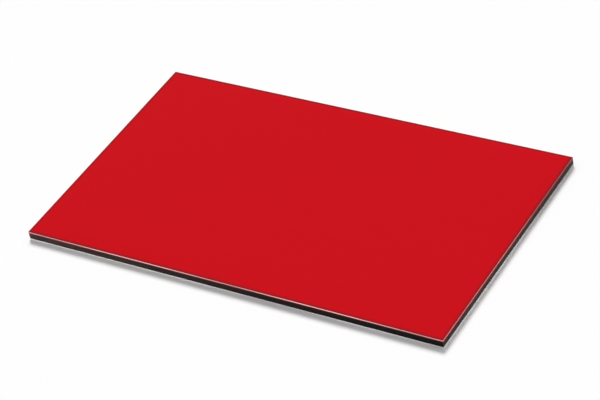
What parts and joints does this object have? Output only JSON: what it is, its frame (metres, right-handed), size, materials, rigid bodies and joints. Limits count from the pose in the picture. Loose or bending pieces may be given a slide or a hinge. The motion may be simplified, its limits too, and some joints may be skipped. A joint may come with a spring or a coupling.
{
  "type": "aluminium composite panel",
  "caption": "Flat rectangular cladding sheet: painted aluminium skins bonded by adhesive films to a black plastic core, with square saw-cut edges that show the layers.",
  "frame": {"origin": "centre of the underside, on the surface that the sheet lies on", "axes": "+X along the longer edges, +Y along the shorter edges, +Z out of the red painted face"},
  "size_m": [0.2, 0.12, 0.004],
  "materials": {
    "red_coated_aluminium": "even red coil coating with a soft satin gloss on the outer face, bare metal on the cut edges",
    "adhesive_film": "thin milky polymer film, seen only as a line in the cut edge",
    "black_polyethylene": "black extruded plastic with a dull sawn edge",
    "service_coated_aluminium": "thin pale grey service coat on the outer face, bare metal on the cut edges"
  },
  "bodies": {
    "root": {"front_skin": "red_coated_aluminium", "front_bond_film": "adhesive_film", "core": "black_polyethylene", "back_bond_film": "adhesive_film", "back_skin": "service_coated_aluminium"}
  },
  "joints": []
}
